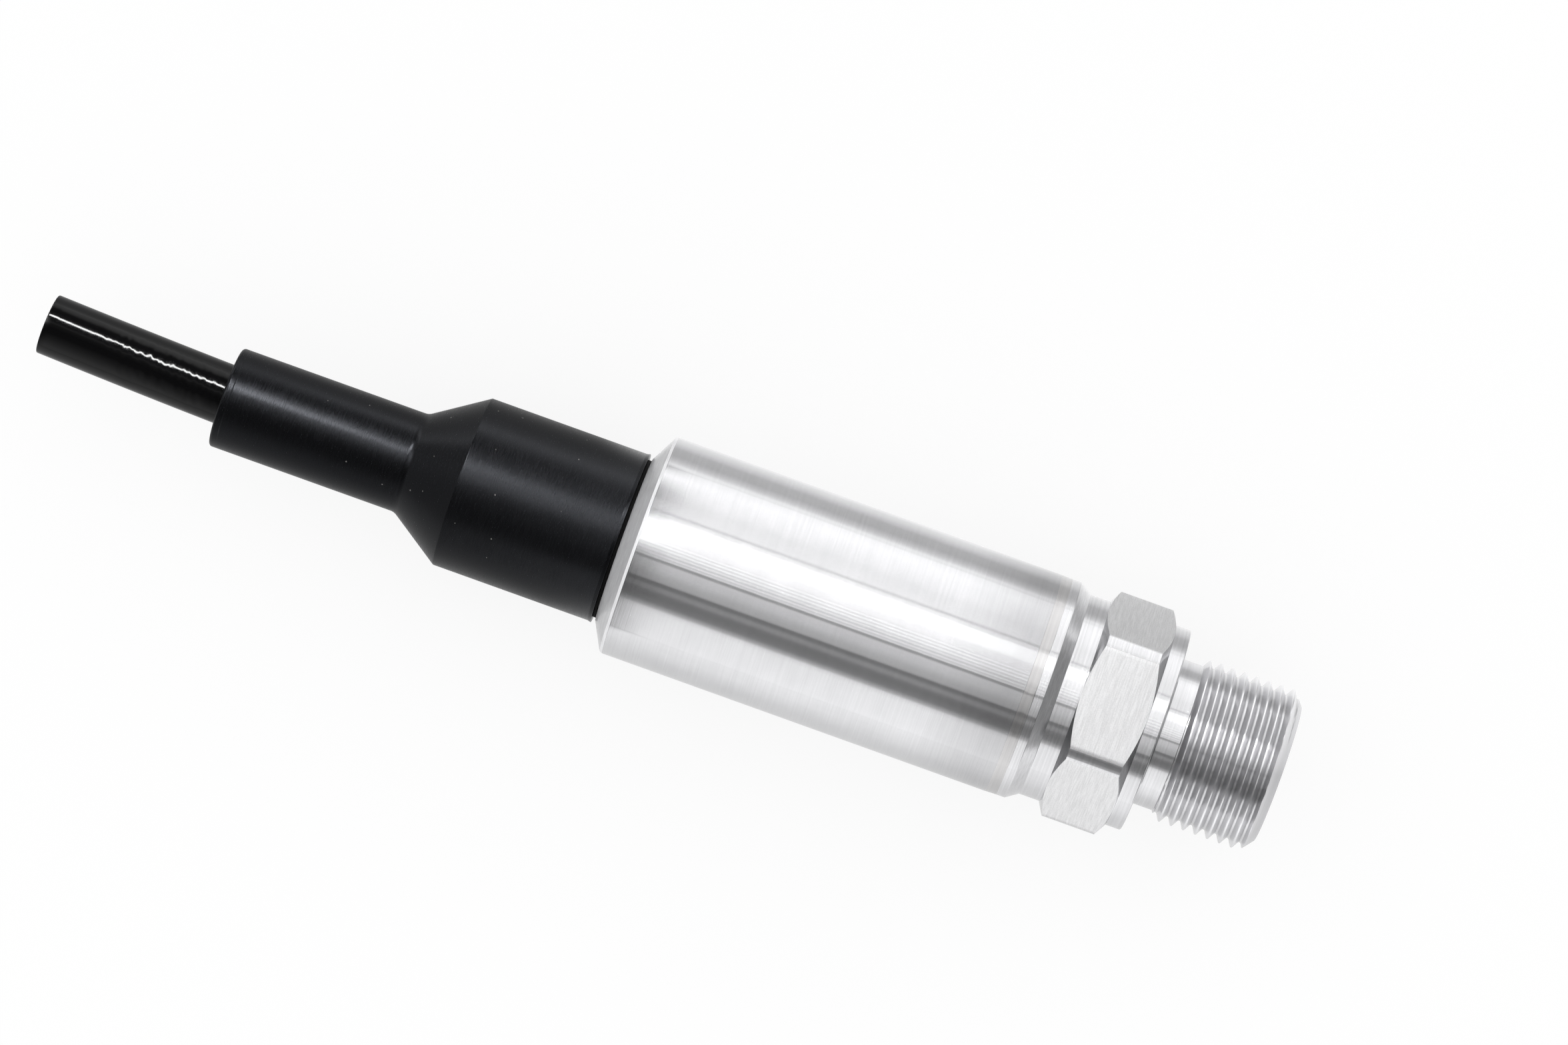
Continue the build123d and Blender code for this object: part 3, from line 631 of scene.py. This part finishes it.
def smooth_line(name, points):
    """The points of the smooth line that has those (station, side) points for its control points."""
    line = bpy.data.curves.new(name, "CURVE")
    line.dimensions = "3D"
    line.resolution_u = 48
    spline = line.splines.new("NURBS")
    spline.points.add(len(points) - 1)
    for control, (at, side) in zip(spline.points, points):
        control.co = (front - at * mm, side * mm, axis_up, 1.0)
    spline.order_u = 3
    spline.use_endpoint_u = True
    carrier = linked(name, line)
    read = bpy.data.meshes.new_from_object(carrier)
    read_points = [vertex.co.copy() for vertex in read.vertices]
    bpy.data.objects.remove(carrier)
    bpy.data.meshes.remove(read)
    return read_points


def swept(name, line, rings, sides):
    """A closed tube along a level line of points, from (share of the line, radius) rings."""
    steps = np.array([0.0] + [(b - a).length for a, b in zip(line, line[1:])]).cumsum()
    up = Vector((0, 0, 1))
    points = []
    for share, radius in rings:
        reach = share * steps[-1]
        place = min(int(np.searchsorted(steps, reach, side="right")) - 1, len(line) - 2)
        ahead = (line[place + 1] - line[place]).normalized()
        centre = line[place] + ahead * (reach - steps[place])
        side = up.cross(ahead).normalized()
        for angle in np.arange(sides) * 2 * math.pi / sides:
            points.append(centre + (side * math.sin(angle) + up * math.cos(angle)) * radius * mm)
    mesh = bpy.data.meshes.new(name)
    mesh.from_pydata(points, [], net_faces(len(rings), sides, closed=True))
    return mesh


# The rings run along the outside to the cut, whose two edges are slightly broken, and back through the bore.
cable_line = smooth_line("cable_line", route)
jacket_rings = [(share, cable_r) for share in np.linspace(0, 0.9975, 60)]
jacket_rings += [(0.9992, cable_r - 0.02), (1.0, cable_r - 0.09), (1.0, jacket_bore_r + 0.05)]
jacket_rings += [(0.999, jacket_bore_r), (0.0, jacket_bore_r)]
jacket_mesh = swept("cable_jacket_extruded", cable_line, jacket_rings, cable_sides)

# Glossy black polyurethane. Near the boot it was handled, and its outside is uneven there in long ripples and
# short beads. They fade out between two stations towards the cut, where the jacket is smooth.
uneven_at = mouth_at + 13
smooth_at = cut_at - 6
smooth_share = 0.06
glossy_jacket, tree, place = new_material("glossy_black_polyurethane")
handled = between(tree, xyz(tree, place)[0], smooth_share, 1.0,
                  front - smooth_at * mm, front - uneven_at * mm)
ripple = maths(tree, "MULTIPLY", noise(tree, place, (2.5, 2.2), detail=0.0), handled)
beads = maths(tree, "MULTIPLY", noise(tree, place, (0.7, 1.0), detail=0.0), handled)
fine = noise(tree, place, 0.3, detail=2.0)
normal = relief(tree, ripple, 0.03)
normal = relief(tree, beads, 0.02, over=normal)
normal = relief(tree, fine, 0.001, over=normal)
principled(tree, {"Base Color": linear("#050506"), "Roughness": between(tree, fine, 0.06, 0.1),
                  "Specular IOR Level": 0.5, "Normal": normal})
jacket = placed("cable_jacket_extruded", finished(jacket_mesh, glossy_jacket), "cable_jacket")


# The pieces inside, as the frame has them: sensor core, boards, nipple, grommet and the cable's own inside.
# Each has its real finish, so that a cut or a taken off cover shows the right material.
def plain_finish(name, colour, roughness, metallic, grain, depth, shine=0.5):
    """A finish with a fine grain, for a piece that a cover hides."""
    material, tree, place = new_material(name)
    grains = noise(tree, place, grain, detail=3.0)
    shade = scaled(tree, linear(colour)[:3], between(tree, grains, 0.9, 1.05))
    principled(tree, {"Base Color": shade, "Metallic": metallic, "Roughness": roughness,
                      "Specular IOR Level": shine, "Normal": relief(tree, grains, depth)})
    return material


inner_finishes = {
    plain_finish("ground_steel_316L", "#CFCECC", 0.25, 1.0, 0.1, 0.002): [
        "sensor_body", "isolating_diaphragm", "diaphragm_ring", "sensor_header", "oil_fill_ball",
        "sensor_retainer"],
    plain_finish("gold_plate", "#D9A441", 0.2, 1.0, 0.1, 0.001): ["header_pins"],
    plain_finish("fused_header_glass", "#24302A", 0.08, 0.0, 0.5, 0.001): ["header_glass_beads"],
    plain_finish("alumina_ceramic", "#E6E3DA", 0.6, 0.0, 0.05, 0.002): ["ceramic_filler"],
    plain_finish("polished_silicon", "#3A3A42", 0.1, 0.4, 1.0, 0.0005): ["silicon_die"],
    plain_finish("moulded_seal_rubber", "#141414", 0.6, 0.0, 0.2, 0.004, shine=0.3): [
        "sensor_o_ring", "cable_grommet"],
    plain_finish("green_solder_mask", "#1E5A34", 0.35, 0.0, 0.4, 0.003): [
        "compensation_board", "circuit_board"],
    plain_finish("extruded_lead_insulation", "#D8D6CE", 0.4, 0.0, 0.3, 0.002): ["sensor_leads"],
    plain_finish("moulded_nylon", "#DDDBD0", 0.5, 0.0, 0.15, 0.004): [
        "front_board_holder", "rear_board_holder"],
    plain_finish("black_epoxy_moulding", "#1A1A1B", 0.55, 0.0, 0.08, 0.003): [
        "signal_chip", "processor_chip", "smoothing_coil"],
    plain_finish("fired_chip_ceramic", "#6B5F52", 0.45, 0.0, 0.1, 0.002): ["chip_resistors"],
    plain_finish("white_fired_ceramic", "#DAD7D1", 0.4, 0.0, 0.2, 0.002): ["surge_protectors"],
    plain_finish("nickel_plated_brass", "#C9C3B4", 0.22, 1.0, 0.2, 0.002): ["gland_nipple", "thrust_washer"],
    plain_finish("tinned_copper_braid", "#C4C4C2", 0.35, 1.0, 0.12, 0.02): ["cable_shield"],
    plain_finish("extruded_vent_tube", "#E3E3DC", 0.3, 0.0, 0.4, 0.001): ["vent_tube"],
    plain_finish("red_core_insulation", "#B32020", 0.3, 0.0, 0.4, 0.002): ["core_red"],
    plain_finish("black_core_insulation", "#1B1B1B", 0.3, 0.0, 0.4, 0.002): ["core_black"],
    plain_finish("yellow_core_insulation", "#E0B020", 0.3, 0.0, 0.4, 0.002): ["core_yellow"],
    plain_finish("blue_core_insulation", "#2050A8", 0.3, 0.0, 0.4, 0.002): ["core_blue"],
    plain_finish("bare_copper", "#C87850", 0.25, 1.0, 0.05, 0.004): ["core_conductors"],
}
for material, nodes in inner_finishes.items():
    for node in nodes:
        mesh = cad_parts[node].data
        mesh.materials.clear()
        mesh.materials.append(material)

# The studio: a pale floor under even soft light, and a tent that only reflections see. It has the long lamps
# and the darker gaps that draw the bands on the steel, and other surroundings over boot and cable. Along the
# axis one gives way to the next at two places, in mm from the origin.
steel_to_boot = -38.0
boot_to_cable = -90.0
piece_blend = 3.0
floor_half = 3.0
floor_corners = [(-floor_half, -floor_half, 0), (floor_half, -floor_half, 0), (floor_half, floor_half, 0),
                 (-floor_half, floor_half, 0)]
floor_mesh = bpy.data.meshes.new("floor")
floor_mesh.from_pydata(floor_corners, [], [(0, 1, 2, 3)])
floor = linked("floor", floor_mesh)


def ramp_through(tree, where, stops):
    """Grey values along a ramp, from (place, value) pairs; where is the place as a node output."""
    low, high = stops[0][0], stops[-1][0]
    value = add(tree, "ShaderNodeValToRGB", {0: between(tree, where, 0.0, 1.0, low, high)})
    elements = value.node.color_ramp.elements
    for place, level in stops:
        if place in (low, high):
            stop = elements[0 if place == low else len(elements) - 1]
        else:
            stop = elements.new((place - low) / (high - low))
        stop.color = (level, level, level, 1)
    return value


def by_piece(tree, along, over_steel, over_boot, over_cable):
    """Mixes three levels by the place along the axis, in mm."""
    to_boot = between(tree, along, 0.0, 1.0, steel_to_boot + piece_blend, steel_to_boot - piece_blend)
    to_cable = between(tree, along, 0.0, 1.0, boot_to_cable + piece_blend, boot_to_cable - piece_blend)
    return blended(tree, to_cable, blended(tree, to_boot, over_steel, over_boot), over_cable)


# Brightness of the floor as the pieces mirror it, by its distance to the side in mm: a painted reflection of
# the floor that glows, with a painted shadow of the transmitter in it, most of all on the +Y side, and darker
# all over where boot and cable mirror it. The camera sees white paper that keeps part of the shadow.
paper_grey = 0.85
shadow_lift = 0.84
mirrored_floor_shadow_steel = [(-150, 1.3), (-70, 1.2), (-47, 1.08), (-34, 0.95), (-20, 0.85), (0, 0.8), (17, 1.15),
                  (27, 0.98), (37, 0.66), (58, 0.62), (90, 0.85), (150, 1.35)]
mirrored_floor_shadow_boot = [(-150, 0.4), (0, 0.5), (30, 0.35), (150, 0.6)]
paper, tree, place = new_material("white_paper_floor")
along, aside = xyz(tree, scaled(tree, place, 1 / mm))[:2]
# Painted shadow of the transmitter, seen only in reflections of the floor.
by_steel = ramp_through(tree, aside, mirrored_floor_shadow_steel)
by_boot = ramp_through(tree, aside, mirrored_floor_shadow_boot)
seen = add(tree, "ShaderNodeLightPath", out="Is Camera Ray")
matte = add(tree, "ShaderNodeBsdfDiffuse", {"Color": (paper_grey, paper_grey, paper_grey, 1)})
white = add(tree, "ShaderNodeEmission", {"Color": (1, 1, 1, 1), "Strength": 1.0})
glow = add(tree, "ShaderNodeEmission", {"Color": by_piece(tree, along, by_steel, by_boot, by_boot),
                                        "Strength": 1.0})
shown = add(tree, "ShaderNodeMixShader", {0: maths(tree, "MULTIPLY", seen, shadow_lift), 1: matte, 2: white})
surface = add(tree, "ShaderNodeMixShader", {0: seen.node.outputs["Is Glossy Ray"], 1: shown, 2: glow})
add(tree, "ShaderNodeOutputMaterial", {"Surface": surface})
floor_mesh.materials.append(paper)

# Brightness of the tent by its angle from straight up, towards +Y, in degrees. Its radius and half length are
# in metres.
tent_r = 0.25
tent_half = 0.45
tent_reach = 92
tent_steps = 72
over_steel = [(-92, 1.4), (-60, 1.3), (-56, 1.12), (-53.5, 0.6), (-49, 0.25), (-43, 0.2), (-39, 0.23),
              (-36, 0.36), (-33.5, 0.36), (-31, 0.22), (-28.5, 0.22), (-27, 0.56), (-22, 0.64), (-16, 0.82),
              (-9.5, 0.88), (-8.3, 0.42), (-6.5, 0.42), (-5.3, 1.05), (0, 1.1), (4, 1.34), (19, 1.5),
              (22, 1.85), (33, 1.9), (34.5, 1.4), (37.5, 1.3), (38.2, 0.95), (40, 0.95), (40.8, 1.34),
              (55, 1.36), (62, 1.48), (82, 1.66), (92, 1.55)]
over_boot = [(-92, 0.3), (-67, 0.2), (-57, 0.12), (-47, 0.05), (-29, 0.04), (-20, 0.07), (-11, 0.12),
             (-3, 0.3), (3, 0.9), (6, 1.3), (8, 2.3), (24, 2.3), (28, 1.3), (32, 0.4), (38, 0.15), (44, 0.3),
             (48, 0.3), (52, 0.12), (62, 0.2), (72, 1.0), (80, 1.6), (86, 1.2), (92, 0.4)]
over_cable = [(-92, 0.5), (-60, 0.2), (-40, 0.06), (-20, 0.05), (-5, 0.12), (0, 0.3), (4, 0.12), (14, 0.1),
              (20.5, 0.2), (21, 28.0), (26.5, 28.0), (27, 0.3), (40, 0.08), (55, 0.1), (66, 0.6), (84, 0.9),
              (92, 0.5)]
tent_points = []
for angle in np.radians(np.linspace(-tent_reach, tent_reach, tent_steps + 1)):
    for along in (-tent_half, tent_half):
        tent_points.append((along, tent_r * math.sin(angle), axis_up + tent_r * math.cos(angle)))
tent_faces = [(2 * step, 2 * step + 1, 2 * step + 3, 2 * step + 2) for step in range(tent_steps)]
tent_mesh = bpy.data.meshes.new("reflection_tent")
tent_mesh.from_pydata(tent_points, [], tent_faces)
tent = linked("reflection_tent", tent_mesh)
tent.visible_camera = False
tent.visible_diffuse = False
tent.visible_transmission = False
tent.visible_shadow = False
cloth, tree, place = new_material("lit_tent_cloth")
along, aside, up = xyz(tree, vectors(tree, "SUBTRACT", place, (0, 0, axis_up)))
along = maths(tree, "MULTIPLY", along, 1 / mm)
leaning = maths(tree, "DEGREES", maths(tree, "ARCTAN2", aside, up))

# The fine lines in the steel come from a row of thin lamps next to the camera, between row_low and row_high.
row_low, row_high, row_pitch, row_depth, row_blend = -7.0, 12.0, 3.2, 0.16, 1.0
rows = maths(tree, "SINE", maths(tree, "MULTIPLY", leaning, 2 * math.pi / row_pitch))
rising = between(tree, leaning, 0.0, 1.0, row_low - row_blend, row_low + row_blend)
falling = between(tree, leaning, 0.0, 1.0, row_high + row_blend, row_high - row_blend)
rows = maths(tree, "MULTIPLY", maths(tree, "MULTIPLY", rows, rising), falling)
rows = maths(tree, "MULTIPLY_ADD", rows, row_depth, 1.0)
steel_level = scaled(tree, ramp_through(tree, leaning, over_steel), rows)
boot_level = ramp_through(tree, leaning, over_boot)

# Over the cable the tent hangs at a slant, by slant_turn degrees between two places along the axis, and
# beyond the cable it is as over the boot. Past the thread it gets darker. Places are in mm from the origin.
slant_near, slant_far, slant_turn = -104.0, -132.0, 12.0
past_cable, cable_blend = -175.0, 15.0
past_thread, thread_blend, thread_level = 68.0, 20.0, 0.3
slant = between(tree, along, -slant_turn, 0.0, slant_far, slant_near)
cable_level = ramp_through(tree, maths(tree, "ADD", leaning, slant), over_cable)
beyond = between(tree, along, 0.0, 1.0, past_cable + cable_blend, past_cable - cable_blend)
cable_level = blended(tree, beyond, cable_level, boot_level)
glow = add(tree, "ShaderNodeEmission", {
    "Color": by_piece(tree, along, steel_level, boot_level, cable_level),
    "Strength": between(tree, along, 1.0, thread_level, past_thread, past_thread + thread_blend)})
add(tree, "ShaderNodeOutputMaterial", {"Surface": glow})
cloth.cycles.emission_sampling = "NONE"
tent_mesh.materials.append(cloth)

# The even light that everything but a reflection gets, at the level where white paper is just white.
# Reflections that leave the tent by its ends find it dark there.
even_light = 1.17
dark_end = 0.3
world = bpy.data.worlds.new("soft_room")
bpy.context.scene.world = world
world.use_nodes = True
tree = world.node_tree
tree.nodes.clear()
seen = add(tree, "ShaderNodeLightPath", out="Is Camera Ray")
mirrored = seen.node.outputs["Is Glossy Ray"]
level = add(tree, "ShaderNodeMix", {0: mirrored, 2: even_light, 3: dark_end}, data_type="FLOAT")
level = add(tree, "ShaderNodeMix", {0: seen, 2: level, 3: 1.0}, data_type="FLOAT")
room = add(tree, "ShaderNodeBackground", {"Color": (1, 1, 1, 1), "Strength": level})
add(tree, "ShaderNodeOutputWorld", {"Surface": room})

# The camera looks straight down from about 0.8 m, rolled so that the transmitter runs from the upper left of
# the picture to the lower right.
roll = math.radians(19.74)
lean = math.radians(0.7)
camera_reach = 0.815
seen_point = Vector((-0.01706, 0.00824, axis_up))
camera_data = bpy.data.cameras.new("camera")
camera_data.lens = 159
camera_data.sensor_width = 36
camera_data.clip_start = 0.01
camera = linked("camera", camera_data)
camera.location = seen_point + camera_reach * Vector((math.sin(lean), 0, math.cos(lean)))
back = (camera.location - seen_point).normalized()
right = Vector((math.cos(roll), math.sin(roll), 0))
right = (right - back * right.dot(back)).normalized()
over = back.cross(right)
camera.rotation_euler = Matrix((right, over, back)).transposed().to_euler()
bpy.context.scene.camera = camera
bpy.context.scene.view_settings.view_transform = "Standard"
